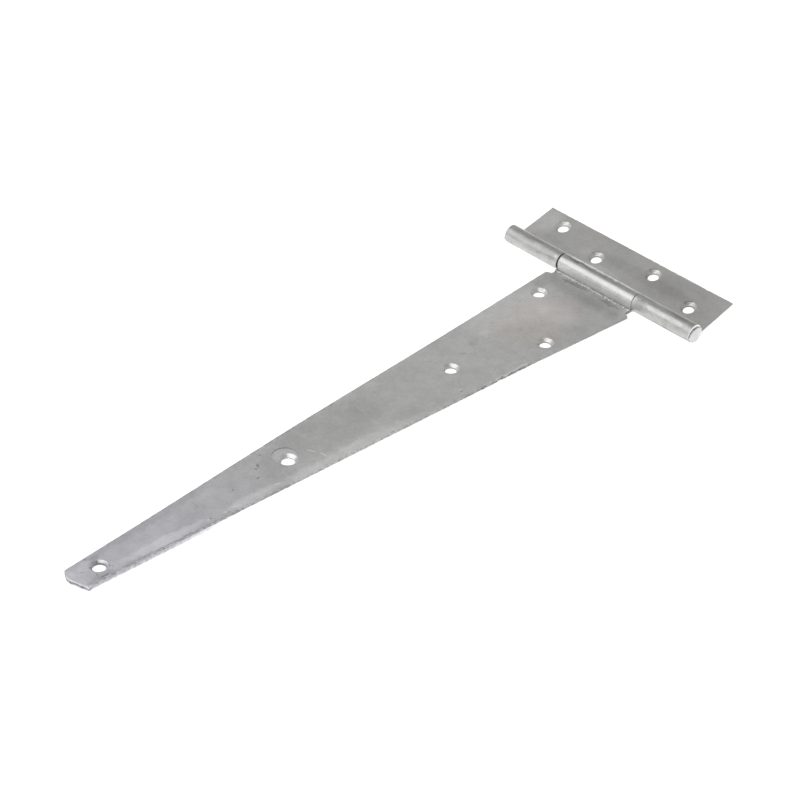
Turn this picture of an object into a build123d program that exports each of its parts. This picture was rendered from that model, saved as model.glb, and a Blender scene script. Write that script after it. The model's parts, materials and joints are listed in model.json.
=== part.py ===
from build123d import *
from math import asin, cos, degrees, hypot, radians, sin, tan
import os

os.makedirs("parts", exist_ok=True)

# Tee hinge, in millimetres
# The strap lies flat with its back on z = 0 and points along +X, the pin runs along Y,
# and the origin is on the strap's back, straight below the middle of the pin.

# Sheet, pin and rolled knuckles
sheet = 3.0
pin_diameter = 6.9
pin_clearance = 0.05
curl_end_gap = 0.25

# Strap
strap_length = 451.0
strap_width = 75.0
tip_width = 22.6
tip_left_rise = 4.0
tip_right_rise = 4.3
tip_nose_shift = -4.0
tip_nose_radius = 8.0
left_shoulder = 4.0
right_shoulder = 3.7
shoulder_gap = 4.8
shoulder_slant = 1.7
shoulder_corner_radius = 0.8

# Cross plate
plate_length = 167.0
plate_reach = 40.0
plate_raise = 11.4
left_edge_setback = 1.3
right_edge_flare = 1.3
notch_gap = 3.8

# Joints between the middle knuckle and the outer ones
left_joint_gap = 1.2
right_joint_gap = 0.3

# Peened heads of the pin, hammered out towards the back and the bottom
head_gap = 0.4
head_thickness = 0.7
head_inset = 0.4
head_shift_x = -1.1
head_shift_z = -3.1
head_cover = 0.6
head_chamfer = 0.25

# Holes
screw_hole = 7.5
bolt_hole = 8.5
countersink_depth = 2.0
middle_bolt_countersink_depth = 2.2
tip_bolt_countersink_depth = 1.4
countersink_angle = 90.0
spot_face_diameter = 16.5
spot_face_depth = 0.35
spot_face_shift_x = -0.9
spot_face_shift_y = -4.0
near_screw_distance = 35.0
far_screw_distance = 74.6
screw_edge_distance = 15.5
screw_row_shift = -0.8
middle_screw_distance = 139.5
tip_bolt_setback = 21.5
tip_bolt_shift = -0.4
middle_bolt_distance = 280.0
middle_bolt_shift = -1.2
plate_screw_stagger = 10.0
plate_end_distance = 21.5
plate_inner_spread = 43.2
plate_screw_distance = 24.0

# Worked out from the sizes above
bore_radius = pin_diameter / 2 + pin_clearance
roll_radius = bore_radius + sheet
pin_height = roll_radius
curl_end_angle = degrees(asin((roll_radius - sheet - curl_end_gap) / roll_radius))
curl_sweep = 270 + curl_end_angle
shoulder_distance = roll_radius + shoulder_gap
tongue_left = left_shoulder - strap_width / 2
tongue_right = strap_width / 2 - right_shoulder
notch_left = tongue_left - left_joint_gap
notch_right = tongue_right + right_joint_gap
notch_distance = roll_radius + notch_gap
plate_end = plate_length / 2
plate_left_edge = left_edge_setback - plate_end
right_knuckle_end = plate_end + right_edge_flare
rod_left = -plate_end - head_gap
rod_right = right_knuckle_end + head_gap
head_radius = roll_radius - head_inset
head_arc_radius = hypot(head_shift_x, head_shift_z) + pin_diameter / 2 + head_cover
sink_slope = tan(radians(countersink_angle / 2))
screw_rim_radius = screw_hole / 2 + countersink_depth * sink_slope
middle_bolt_rim_radius = bolt_hole / 2 + middle_bolt_countersink_depth * sink_slope
tip_bolt_rim_radius = bolt_hole / 2 + tip_bolt_countersink_depth * sink_slope
screw_offset = strap_width / 2 - screw_edge_distance
tip_bolt_distance = strap_length - tip_bolt_setback
plate_outer_spread = plate_length - 2 * plate_end_distance

# The cross plate's own frame: through the pin, turned up at the back by plate_raise
raise_cos = cos(radians(plate_raise))
raise_sin = sin(radians(plate_raise))
plate_frame = Plane(
    origin=(0, 0, pin_height),
    x_dir=(raise_cos, 0, -raise_sin),
    z_dir=(raise_sin, 0, raise_cos),
)
plate_section = Plane(
    origin=plate_frame.origin,
    x_dir=plate_frame.x_dir,
    z_dir=-plate_frame.y_dir,
)
strap_section = Plane(origin=(0, 0, pin_height), x_dir=(1, 0, 0), z_dir=(0, -1, 0))


def roll_face(plane, turn):
    """Section of a rolled knuckle: the sheet leaves the leaf under the pin and comes back down to it."""
    with BuildSketch(plane) as section:
        with BuildLine():
            outside = CenterArc((0, 0), roll_radius, -90, turn * curl_sweep)
            inside = CenterArc((0, 0), bore_radius, -90, turn * curl_sweep)
            Line(outside @ 0, inside @ 0)
            Line(outside @ 1, inside @ 1)
        make_face()
    return section.sketch


def head_face(plane):
    """Outline of a peened head: round about the pin, cut back to a flatter arc at the front and the top."""
    with BuildSketch(plane) as head:
        Circle(head_radius)
        with Locations((head_shift_x, head_shift_z)):
            Circle(head_arc_radius, mode=Mode.INTERSECT)
    return head.sketch


# Strap leaf: tapered sheet, tongue and middle knuckle
with BuildPart() as strap_leaf:
    with BuildSketch(Plane.XY) as strap_outline:
        with BuildLine():
            Polyline(
                (0, tongue_left),
                (shoulder_distance, tongue_left),
                (shoulder_distance + shoulder_slant, -strap_width / 2),
                (strap_length - tip_left_rise, -tip_width / 2),
                (strap_length, tip_nose_shift),
                (strap_length - tip_right_rise, tip_width / 2),
                (shoulder_distance + shoulder_slant, strap_width / 2),
                (shoulder_distance, tongue_right),
                (0, tongue_right),
                close=True,
            )
        make_face()
        fillet(strap_outline.vertices().sort_by(Axis.X)[-1], tip_nose_radius)
        by_width = strap_outline.vertices().sort_by(Axis.Y)
        fillet([by_width[0], by_width[-1]], shoulder_corner_radius)
    extrude(amount=sheet)
    extrude(roll_face(strap_section.offset(-tongue_right), -1), amount=tongue_right - tongue_left)
    with Locations(
        (near_screw_distance, screw_row_shift - screw_offset, sheet),
        (far_screw_distance, screw_row_shift + screw_offset, sheet),
        (middle_screw_distance, screw_row_shift, sheet),
    ):
        CounterSinkHole(screw_hole / 2, screw_rim_radius, counter_sink_angle=countersink_angle)
    with Locations((middle_bolt_distance, middle_bolt_shift, sheet)):
        CounterSinkHole(bolt_hole / 2, middle_bolt_rim_radius, counter_sink_angle=countersink_angle)
    with Locations((tip_bolt_distance, tip_bolt_shift, sheet)):
        CounterSinkHole(bolt_hole / 2, tip_bolt_rim_radius, counter_sink_angle=countersink_angle)
    with BuildSketch(Plane.XY.offset(sheet)):
        with Locations((middle_bolt_distance + spot_face_shift_x, middle_bolt_shift + spot_face_shift_y)):
            Circle(spot_face_diameter / 2)
    extrude(amount=-spot_face_depth, mode=Mode.SUBTRACT)
strap_leaf.part.label = "strap_leaf"
export_step(strap_leaf.part, "parts/strap_leaf.step")

# Cross plate: notched sheet with an outer knuckle on each side of the notch
with BuildPart() as cross_plate:
    with BuildSketch(plate_frame.offset(-pin_height)):
        with BuildLine():
            Polyline(
                (0, plate_left_edge),
                (0, notch_left),
                (-notch_distance, notch_left),
                (-notch_distance, notch_right),
                (0, notch_right),
                (0, right_knuckle_end),
                (-plate_reach, plate_end),
                (-plate_reach, plate_left_edge),
                close=True,
            )
        make_face()
    extrude(amount=sheet)
    extrude(roll_face(plate_section.offset(plate_end), 1), amount=-(plate_end + notch_left))
    extrude(roll_face(plate_section.offset(-right_knuckle_end), 1), amount=right_knuckle_end - notch_right)
    with Locations(plate_frame.offset(sheet - pin_height)):
        with Locations(
            (-plate_screw_distance - plate_screw_stagger / 2, -plate_outer_spread / 2),
            (-plate_screw_distance + plate_screw_stagger / 2, -plate_inner_spread / 2),
            (-plate_screw_distance - plate_screw_stagger / 2, plate_inner_spread / 2),
            (-plate_screw_distance + plate_screw_stagger / 2, plate_outer_spread / 2),
        ):
            CounterSinkHole(screw_hole / 2, screw_rim_radius, counter_sink_angle=countersink_angle)
cross_plate.part.label = "cross_plate"
export_step(cross_plate.part, "parts/cross_plate.step")

# Hinge pin: a rod with both ends peened over the knuckles
with BuildPart() as hinge_pin:
    with BuildSketch(strap_section.offset(-rod_right)):
        Circle(pin_diameter / 2)
    extrude(amount=rod_right - rod_left)
    extrude(head_face(strap_section.offset(-rod_left)), amount=head_thickness)
    extrude(head_face(strap_section.offset(-rod_right)), amount=-head_thickness)
    outer_faces = hinge_pin.faces().sort_by(Axis.Y)
    chamfer([outer_faces[0].edges(), outer_faces[-1].edges()], head_chamfer)
hinge_pin.part.label = "hinge_pin"
export_step(hinge_pin.part, "parts/hinge_pin.step")
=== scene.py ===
# %% [markdown]
# # A hot-dip galvanised tee hinge
# The hinge is three pieces of steel: a long tapered strap leaf, a short cross plate, and the pin that joins
# their rolled knuckles. The imported model already has their true shape and size, so nothing is measured
# again here. This lesson gives the leaves what the shears and the zinc bath left on them: soft and lumpy
# edges, an uneven coat, stains and scratches. It also paints some light and shade into their colour. At the
# end it sets up a plain white studio.

# %% Load the frame
import json
import math

import bpy
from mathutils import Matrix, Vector


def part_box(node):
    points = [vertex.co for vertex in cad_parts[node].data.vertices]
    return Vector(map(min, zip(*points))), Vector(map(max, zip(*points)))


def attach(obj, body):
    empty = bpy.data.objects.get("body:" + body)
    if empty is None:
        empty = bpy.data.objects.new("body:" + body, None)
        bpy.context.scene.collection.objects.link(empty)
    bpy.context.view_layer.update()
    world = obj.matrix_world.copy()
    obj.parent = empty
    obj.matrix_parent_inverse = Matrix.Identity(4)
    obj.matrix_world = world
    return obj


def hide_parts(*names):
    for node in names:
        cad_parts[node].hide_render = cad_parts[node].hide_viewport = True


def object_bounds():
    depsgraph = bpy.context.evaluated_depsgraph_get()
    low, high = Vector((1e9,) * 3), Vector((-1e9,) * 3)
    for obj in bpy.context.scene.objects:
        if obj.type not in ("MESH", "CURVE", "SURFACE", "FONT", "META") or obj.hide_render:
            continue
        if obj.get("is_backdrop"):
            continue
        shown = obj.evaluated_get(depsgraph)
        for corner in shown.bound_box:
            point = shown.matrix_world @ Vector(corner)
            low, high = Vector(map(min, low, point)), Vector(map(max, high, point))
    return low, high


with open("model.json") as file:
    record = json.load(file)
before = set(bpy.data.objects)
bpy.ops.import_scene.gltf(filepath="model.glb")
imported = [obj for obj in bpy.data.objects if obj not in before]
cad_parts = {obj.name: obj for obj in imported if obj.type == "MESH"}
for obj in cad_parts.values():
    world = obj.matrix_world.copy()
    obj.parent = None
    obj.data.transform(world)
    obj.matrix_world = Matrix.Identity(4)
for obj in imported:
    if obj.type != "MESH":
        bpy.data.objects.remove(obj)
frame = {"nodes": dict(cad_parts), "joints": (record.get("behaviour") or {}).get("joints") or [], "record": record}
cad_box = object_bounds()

MM = 0.001
print("pieces in the frame:", sorted(frame["nodes"]))

# %% [markdown]
# ## Where things are
# The strap lies with its back on z = 0 and points along +X. The pin runs along Y. Left is low y and right
# is high y, as one sees the hinge from beyond the tip. The places below are worked out from the frame, so
# that they follow the model if it changes.

# %% Places read from the frame
swing = next(joint for joint in frame["joints"] if joint["name"] == "plate_swing")
pin_axis = Vector(swing["pos_m"])
strap_low, strap_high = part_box("strap_leaf")
plate_low, plate_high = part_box("cross_plate")
roll_radius = pin_axis.z
mounts = {mount["name"]: mount for mount in frame["record"]["mounts"]}
plate_up = Vector(mounts["plate_outer_screws"]["axis"])
plate_front = Vector((plate_up.z, 0.0, -plate_up.x))
middle_bolt = mounts["strap_bolts"]["pos_m"][0] - mounts["strap_bolts"]["dims"]["pcd_mm"] / 2 * MM
print("pin axis at", [round(value / MM, 2) for value in pin_axis], "mm")
print("middle bolt hole at", round(middle_bolt / MM, 1), "mm")

# %% [markdown]
# ## Copies to work on
# The leaves could be modelled again from primitives, but then every size would have to be repeated here. A
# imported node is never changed, so its mesh is copied, and the copy is merged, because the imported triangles
# are loose. Flat faces are dissolved back into single faces, which leaves clean edges to round.

# %% Copy a leaf
MERGE = 0.001 * MM
FLAT = math.radians(0.5)


def work_on(piece):
    """Leaves this piece alone selected and active."""
    bpy.ops.object.select_all(action="DESELECT")
    piece.select_set(True)
    bpy.context.view_layer.objects.active = piece


def copy_of_node(node, name):
    """A new piece with a merged copy of a node's mesh."""
    piece = bpy.data.objects.new(name, frame["nodes"][node].data.copy())
    bpy.context.scene.collection.objects.link(piece)
    work_on(piece)
    bpy.ops.object.mode_set(mode="EDIT")
    bpy.ops.mesh.select_all(action="SELECT")
    bpy.ops.mesh.customdata_custom_splitnormals_clear()
    bpy.ops.mesh.remove_doubles(threshold=MERGE)
    bpy.ops.mesh.dissolve_limited(angle_limit=FLAT)
    bpy.ops.object.mode_set(mode="OBJECT")
    print(name, "has", len(piece.data.polygons), "faces after merging")
    return piece


strap = copy_of_node("strap_leaf", "strap_leaf_galvanised")
plate = copy_of_node("cross_plate", "cross_plate_galvanised")

# %% [markdown]
# ## Where the outlines run
# Later steps ask how far a point is from a sheared edge. The strap's long edges run from its widest point
# to the corner of its tip. Side -1 is the edge at low y, and side 1 the edge at high y.

# %% Distance from the strap's long edges
TIP_ZONE = 8.0 * MM


def long_edge(side):
    """The strap's edge on one side, as its wide end and its narrow end."""
    corners = [vertex.co for vertex in strap.data.vertices]
    wide = max(corners, key=lambda point: side * point.y)
    at_tip = [point for point in corners if point.x > strap_high.x - TIP_ZONE]
    narrow = max(at_tip, key=lambda point: side * point.y)
    return Vector((wide.x, wide.y, 0)), Vector((narrow.x, narrow.y, 0))


def inward(side):
    """The direction from one long edge into the strap."""
    wide, narrow = strap_edges[side]
    along = (narrow - wide).normalized()
    return Vector((side * along.y, -side * along.x, 0))


def strap_margin(point, side):
    """How far a point lies inside one long edge of the strap."""
    return (point - strap_edges[side][0]).dot(inward(side))


strap_edges = {side: long_edge(side) for side in (-1, 1)}
print("edge at high y runs", [[round(value / MM, 1) for value in end] for end in strap_edges[1]])

# %% [markdown]
# The plate is measured along its own slope, with the pin as the zero. Its right end flares out to its
# knuckle.


# %% Distance from the plate's edges
def plate_reach(point):
    """How far a point lies behind the pin, along the plate's slope."""
    return -(point - pin_axis).dot(plate_front)


plate_back = max(plate_reach(vertex.co) for vertex in plate.data.vertices)
back_corners = [vertex.co.y for vertex in plate.data.vertices if plate_reach(vertex.co) > plate_back - MM]
back_left, back_right = min(back_corners), max(back_corners)


def plate_margin(point):
    """How far a point lies inside the plate's back edge and its two ends."""
    reach = plate_reach(point)
    flare = (plate_high.y - back_right) * (1 - reach / plate_back)
    return min(plate_back - reach, point.y - back_left, back_right + flare - point.y)


print("the plate reaches", round(plate_back / MM, 1), "mm behind the pin")

# %% [markdown]
# ## Rounded edges
# Sheared sheet has no knife edges once it has been dipped: the zinc pulls back from a corner and rounds it.
# A bevel modifier could round them all by their angle, but it can't tell the outline from a hole. The bevel
# tool can, with the sharp edges picked by their place. The outline gets a wider round than the rims of the
# holes, and the front of the tip, which was ground, gets a wider one still. The widest is on the front of
# the plate's notch. The rims at the spot face are too fine to bevel and stay sharp.

# %% Which edges belong to what
HOLE_INSET = 2.5 * MM
TIP_INSET = 9.0 * MM
PLATE_KNUCKLE = 12.0 * MM
NOTCH_INSET = 2.0 * MM
SPOT_FACE = 12.0 * MM
TIP_FRONT, TIP_LEFT = 5.0 * MM, -6.0 * MM


def strap_hole(point):
    """Whether a point belongs to a hole in the strap and not to its outline."""
    inside = min(strap_margin(point, -1), strap_margin(point, 1)) > HOLE_INSET
    return inside and 2 * roll_radius < point.x < strap_high.x - TIP_INSET


def strap_tip(point):
    """Whether a point is on the upper rim of the tip's blunt front."""
    return point.x > strap_high.x - TIP_FRONT and point.y > TIP_LEFT and point.z > roll_radius / 3


def plate_hole(point):
    """Whether a point belongs to a hole in the plate and not to its outline."""
    return plate_reach(point) > PLATE_KNUCKLE and plate_margin(point) > HOLE_INSET


def plate_notch(point):
    """Whether a point is on the edge of the notch that faces the middle knuckle."""
    behind_knuckle = roll_radius + NOTCH_INSET < plate_reach(point) < PLATE_KNUCKLE
    return behind_knuckle and plate_margin(point) > HOLE_INSET


strap_rims = sum(strap_hole(vertex.co) for vertex in strap.data.vertices)
plate_rims = sum(plate_hole(vertex.co) for vertex in plate.data.vertices)
print("points in the holes: strap", strap_rims, "and plate", plate_rims)

# %% Bevel the outline and the hole rims
OUTLINE_ROUND = 0.35 * MM
TIP_ROUND = 0.8 * MM
RIM_ROUND = 0.14 * MM
NOTCH_ROUND = 1.2 * MM
SHARP = math.radians(38)


def bevel_sharp(piece, width, segments, wanted):
    """Rounds the sharp edges whose middle passes a test."""
    work_on(piece)
    bpy.ops.object.mode_set(mode="EDIT")
    bpy.ops.mesh.select_mode(type="EDGE")
    bpy.ops.mesh.select_all(action="DESELECT")
    bpy.ops.mesh.edges_select_sharp(sharpness=SHARP)
    bpy.ops.object.mode_set(mode="OBJECT")
    points = piece.data.vertices
    chosen = []
    for edge in piece.data.edges:
        middle = (points[edge.vertices[0]].co + points[edge.vertices[1]].co) / 2
        if edge.select and wanted(middle):
            chosen.append(edge.index)
    bpy.ops.object.mode_set(mode="EDIT")
    bpy.ops.mesh.select_all(action="DESELECT")
    bpy.ops.object.mode_set(mode="OBJECT")
    for index in chosen:
        piece.data.edges[index].select = True
    bpy.ops.object.mode_set(mode="EDIT")
    bpy.ops.mesh.bevel(offset=width, segments=segments, profile=0.5, clamp_overlap=False)
    bpy.ops.object.mode_set(mode="OBJECT")
    print(piece.name, "rounded", len(chosen), "edges by", round(width / MM, 2), "mm")


bevel_sharp(strap, TIP_ROUND, 4, strap_tip)
bevel_sharp(strap, OUTLINE_ROUND, 3, lambda point: not strap_hole(point) and not strap_tip(point))
bevel_sharp(strap, RIM_ROUND, 2, lambda point: strap_hole(point) and abs(point.x - middle_bolt) > SPOT_FACE)
bevel_sharp(plate, NOTCH_ROUND, 5, plate_notch)
bevel_sharp(plate, OUTLINE_ROUND, 3, lambda point: not plate_hole(point) and not plate_notch(point))
bevel_sharp(plate, RIM_ROUND, 2, plate_hole)

# %% [markdown]
# ## A grid to push about
# A flat face has no points inside it to move. Subdividing would cut long thin faces into longer and thinner
# ones. Cutting the leaves across with the bisect tool, every millimetre or so, gives the zinc something to
# be lumpy with.

# %% Bisect into a grid
AHEAD, ALONG_PIN = Vector((1, 0, 0)), Vector((0, 1, 0))
FINE, COARSE = 1.0 * MM, 1.5 * MM


def cut_across(piece, normal, low, high, spacing):
    """Cuts a piece with evenly spaced planes between two distances along a direction."""
    work_on(piece)
    bpy.ops.object.mode_set(mode="EDIT")
    cuts = int((high - low) / spacing)
    for step in range(1, cuts):
        bpy.ops.mesh.select_all(action="SELECT")
        bpy.ops.mesh.bisect(plane_co=normal * (low + step * (high - low) / cuts), plane_no=normal)
    bpy.ops.object.mode_set(mode="OBJECT")
    print(piece.name, "now has", len(piece.data.polygons), "faces")


pin_shift = pin_axis.dot(plate_front)
cut_across(strap, AHEAD, roll_radius, strap_high.x, FINE)
cut_across(strap, ALONG_PIN, strap_low.y, strap_high.y, COARSE)
cut_across(plate, plate_front, pin_shift - plate_back, pin_shift - roll_radius, COARSE)
cut_across(plate, ALONG_PIN, plate_low.y, plate_high.y, COARSE)

# %% [markdown]
# ## Lumpy zinc
# Molten zinc drains off the edges last, and it sets there in small lumps. They could be sculpted by hand.
# The displace modifier makes them from a cloud texture, the same each time. A vertex group says how much
# each point may move: fully at the sheared edges, and not at all inside the knuckles, in the holes or at
# the joints, where the pieces have to clear each other. The strap hung with its low-y edge up, so that edge
# is the cleaner one, and the worst lumps are at the tip, where the last drops set. The foot of the edges
# stays put, so that nothing sinks into the floor.

# %% Vertex groups
EDGE_FADE = 2.2 * MM
FOOT = 1.4 * MM
CLEAN_EDGE = 0.35
SHOULDER = 16.0 * MM
DROPS_FROM = 405.0 * MM
DROPS_FADE = 16.0 * MM
FRONT_INSET = 2.0 * MM


def fade(distance, width):
    """One at no distance, falling smoothly to zero at the width."""
    left = min(max(1 - distance / width, 0.0), 1.0)
    return left * left * (3 - 2 * left)


def strap_edge_weight(point):
    """Full along the edge at high y, weaker at the clean edge and the tip's front, none near the knuckle."""
    lower = fade(max(strap_margin(point, 1), 0), EDGE_FADE)
    upper = CLEAN_EDGE * fade(max(strap_margin(point, -1), 0), EDGE_FADE)
    front = CLEAN_EDGE * fade(max(strap_high.x - FRONT_INSET - point.x, 0), EDGE_FADE)
    clear_of_knuckle = 1 - fade(max(point.x - SHOULDER, 0), EDGE_FADE)
    return max(lower, upper, front) * clear_of_knuckle * (1 - fade(point.z, FOOT))


def strap_drop_weight(point):
    """Full along the last stretch of the edge at high y, where drops set."""
    edge = fade(max(strap_margin(point, 1), 0), 2 * EDGE_FADE)
    return edge * (1 - fade(max(point.x - DROPS_FROM, 0), DROPS_FADE)) * (1 - fade(point.z, FOOT))


def plate_edge_weight(point):
    """Full along the plate's back edge and ends, none at the knuckles."""
    return fade(max(plate_margin(point), 0), EDGE_FADE) if plate_reach(point) > PLATE_KNUCKLE else 0.0


def weigh(piece, name, weight):
    """A vertex group whose weights follow a function of the point."""
    group = piece.vertex_groups.new(name=name)
    held = 0
    for vertex in piece.data.vertices:
        value = weight(vertex.co)
        if value > 0:
            group.add([vertex.index], value, "REPLACE")
            held += 1
    print(piece.name, "group", name, "holds", held, "points")


weigh(strap, "sheared_edge", strap_edge_weight)
weigh(strap, "zinc_drops", strap_drop_weight)
weigh(plate, "sheared_edge", plate_edge_weight)


# %% Displacement
def displace(piece, group, texture_name, scale, depth):
    """Moves a piece's points in and out along their normals by a cloud texture."""
    cloud = bpy.data.textures.new(texture_name, "CLOUDS")
    cloud.noise_scale = scale
    cloud.noise_depth = 2
    work_on(piece)
    modifier = piece.modifiers.new(texture_name, "DISPLACE")
    modifier.texture = cloud
    modifier.texture_coords = "LOCAL"
    modifier.vertex_group = group
    modifier.mid_level = 0.5
    modifier.strength = depth
    bpy.ops.object.modifier_apply(modifier=texture_name)
    print(piece.name, "displaced by", texture_name)


EDGE_LUMP, DROP_LUMP = 2.6 * MM, 4.0 * MM
displace(strap, "sheared_edge", "edge_lumps", EDGE_LUMP, 0.7 * MM)
displace(strap, "zinc_drops", "drop_lumps", DROP_LUMP, 1.1 * MM)
displace(plate, "sheared_edge", "plate_edge_lumps", EDGE_LUMP, 0.5 * MM)

# %% [markdown]
# ## A bowed edge
# The low-y edge isn't quite straight. It swells by about a millimetre in the middle of its length. A
# displace modifier without a texture moves a whole group by one distance, and the weights shape the
# swelling.

# %% Swell the edge
BOW_AT, BOW_LENGTH, BOW_FADE, BOW_DEPTH = 255.0 * MM, 150.0 * MM, 8.0 * MM, 1.2 * MM


def strap_bow_weight(point):
    """Full in the middle of the edge at low y, falling off along it and across the strap."""
    return fade(max(strap_margin(point, -1), 0), BOW_FADE) * fade(abs(point.x - BOW_AT), BOW_LENGTH)


weigh(strap, "bowed_edge", strap_bow_weight)
work_on(strap)
bow = strap.modifiers.new("bowed_edge", "DISPLACE")
bow.vertex_group = "bowed_edge"
bow.direction = "Y"
bow.mid_level = 0.0
bow.strength = -BOW_DEPTH
bpy.ops.object.modifier_apply(modifier="bowed_edge")
print(strap.name, "swells by", round(BOW_DEPTH / MM, 1), "mm at", round(BOW_AT / MM), "mm from the pin")

# %% [markdown]
# ## A nick and a drop
# Two marks on the edge are too big for the clouds: a nick in the long edge, and the last drop of zinc at
# the corner of the tip. Proportional editing makes both, by pulling one point and letting its neighbours
# follow.

# %% Pull single points
PULL_HEIGHT = 2.0 * MM
NICK_AT, NICK_REACH, NICK_DEPTH = 127.0 * MM, 3.0 * MM, 0.9 * MM
DROP_REACH, DROP_PULL = 2.6 * MM, Vector((0.2, 0.9, 0.0)) * MM


def pull(piece, place, reach, shift):
    """Moves the point nearest to a place, and its neighbours with it."""
    nearest = min(piece.data.vertices, key=lambda vertex: (vertex.co - place).length)
    index = nearest.index
    work_on(piece)
    bpy.ops.object.mode_set(mode="EDIT")
    bpy.ops.mesh.select_mode(type="VERT")
    bpy.ops.mesh.select_all(action="DESELECT")
    bpy.ops.object.mode_set(mode="OBJECT")
    piece.data.vertices[index].select = True
    bpy.ops.object.mode_set(mode="EDIT")
    bpy.ops.transform.translate(
        value=shift, use_proportional_edit=True, proportional_edit_falloff="SMOOTH", proportional_size=reach)
    bpy.ops.object.mode_set(mode="OBJECT")
    print(piece.name, "pulled near", [round(value / MM, 1) for value in place])


wide, narrow = strap_edges[1]
on_wall = Vector((0, 0, PULL_HEIGHT))
nick = wide.lerp(narrow, (NICK_AT - wide.x) / (narrow.x - wide.x)) + on_wall
pull(strap, nick, NICK_REACH, inward(1) * NICK_DEPTH)
pull(strap, narrow + on_wall, DROP_REACH, DROP_PULL)

# %% [markdown]
# ## Smooth shading
# Smooth shading makes the bevels read as rounds. Weighted normals keep the big flat faces flat beside them.

# %% Smooth shading with flat faces kept flat
for piece in (strap, plate):
    work_on(piece)
    bpy.ops.object.shade_smooth_by_angle(angle=math.radians(30))
    piece.modifiers.new("even_flats", "WEIGHTED_NORMAL").keep_sharp = True
    bpy.ops.object.modifier_apply(modifier="even_flats")
    print(piece.name, "is shaded smooth")

# %% [markdown]
# ## The zinc seam
# Zinc also fills the narrow groove where the rolled end of the strap meets the strap again. A surface that
# follows the groove exactly would be hard to shape, and little of it would show, so two simple pieces do
# for it. The first is a flat fillet that leaves the knuckle at a tangent and runs down to the strap: a thin
# bar, made upright at the front of the knuckle and then turned a little about the pin.

# %% Fillet in front of the middle knuckle
SEAM_LEFT, SEAM_RIGHT = -33.3 * MM, 33.6 * MM
FILLET_THICK, FILLET_TALL, FILLET_TURN = 0.9 * MM, 4.5 * MM, 8.0
seam_middle, seam_length = (SEAM_LEFT + SEAM_RIGHT) / 2, SEAM_RIGHT - SEAM_LEFT
bpy.ops.object.select_all(action="DESELECT")
bpy.ops.mesh.primitive_cube_add(size=1.0)
fillet = bpy.context.active_object
fillet.name = "zinc_seam_fillet"
bpy.ops.object.mode_set(mode="EDIT")
bpy.ops.mesh.select_all(action="SELECT")
bpy.ops.transform.resize(value=(FILLET_THICK, seam_length, FILLET_TALL))
bpy.ops.transform.translate(
    value=(roll_radius - FILLET_THICK / 2, seam_middle, pin_axis.z - FILLET_TALL / 2))
bpy.ops.transform.rotate(value=math.radians(FILLET_TURN), orient_axis="Y", center_override=pin_axis)
bpy.ops.object.mode_set(mode="OBJECT")
low_end = max((vertex.co for vertex in fillet.data.vertices), key=lambda point: point.x)
print("the fillet's foot is at", [round(value / MM, 2) for value in low_end])

# %% [markdown]
# The second is the rough bead at the foot of the fillet, half sunk in the strap: a thin cylinder, cut into
# rings and made lumpy. Small clouds roughen it, and large ones make it wander. Its left end set smoothly.

# %% Bead at the foot of the fillet
SHEET = 3.0 * MM
BEAD_RADIUS = 1.05 * MM
BEAD_X = 7.5 * MM
BEAD_CUTS = 0.5 * MM
BEAD_LUMP, BEAD_WANDER = 1.6 * MM, 9.0 * MM
SMOOTH_END, SMOOTH_SHARE = 24.0 * MM, 0.75
bpy.ops.object.select_all(action="DESELECT")
bpy.ops.mesh.primitive_cylinder_add(vertices=16, radius=BEAD_RADIUS, depth=seam_length)
bead = bpy.context.active_object
bead.name = "zinc_seam_bead"
bpy.ops.object.mode_set(mode="EDIT")
bpy.ops.mesh.select_all(action="SELECT")
bpy.ops.transform.rotate(value=math.radians(90), orient_axis="X", center_override=(0, 0, 0))
bpy.ops.transform.translate(value=(BEAD_X, seam_middle, SHEET))
bpy.ops.object.mode_set(mode="OBJECT")
cut_across(bead, ALONG_PIN, SEAM_LEFT, SEAM_RIGHT, BEAD_CUTS)
weigh(bead, "rough_part", lambda point: 1 - SMOOTH_SHARE * fade(point.y - SEAM_LEFT, SMOOTH_END))
displace(bead, "rough_part", "bead_lumps", BEAD_LUMP, 1.0 * MM)
displace(bead, "rough_part", "bead_wander", BEAD_WANDER, 0.5 * MM)
bpy.ops.object.shade_smooth_by_angle(angle=math.radians(60))

# %% [markdown]
# ## Tools for the zinc
# Hot-dip galvanised steel is steel under a thin skin of zinc. Fresh zinc is bright, and in the air it slowly
# turns to a dull, cloudy grey, so to the eye it is a rough metal with soft blotches and hardly any colour.
# All of its patterns are drawn on Object coordinates, with their scales in real millimetres.


# %% Colours and nodes
def linear_colour(code):
    """An sRGB hex colour as the linear RGBA that sockets take."""
    channels = [int(code[i:i + 2], 16) / 255 for i in (1, 3, 5)]
    return [c / 12.92 if c <= 0.04045 else ((c + 0.055) / 1.055) ** 2.4 for c in channels] + [1.0]


def add(tree, kind, inputs=None, out=0, **settings):
    """Adds a node, sets its properties, fills or links its sockets, and gives back one of its outputs."""
    node = tree.nodes.new(kind)
    for name, value in settings.items():
        setattr(node, name, value)
    for name, value in (inputs or {}).items():
        if isinstance(value, bpy.types.NodeSocket):
            tree.links.new(value, node.inputs[name])
        else:
            node.inputs[name].default_value = value
    return node.outputs[out] if node.outputs else None


def new_material(name):
    """An empty material and its node tree."""
    material = bpy.data.materials.new(name)
    material.use_nodes = True
    material.node_tree.nodes.clear()
    return material, material.node_tree


print("mid grey is", round(linear_colour("#808080")[0], 3), "in linear light")

# %% [markdown]
# ## Marks on the sheet
# Stains could be painted by hand, but a painted picture has to be kept as a file. Here each stain, smear,
# speck and scratch is an ellipse with a soft border, worked out by nodes. Stains are drawn in coordinates
# that noise has pushed about, which makes their borders ragged. A mark makes the zinc lighter or darker by
# its amount.


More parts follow.
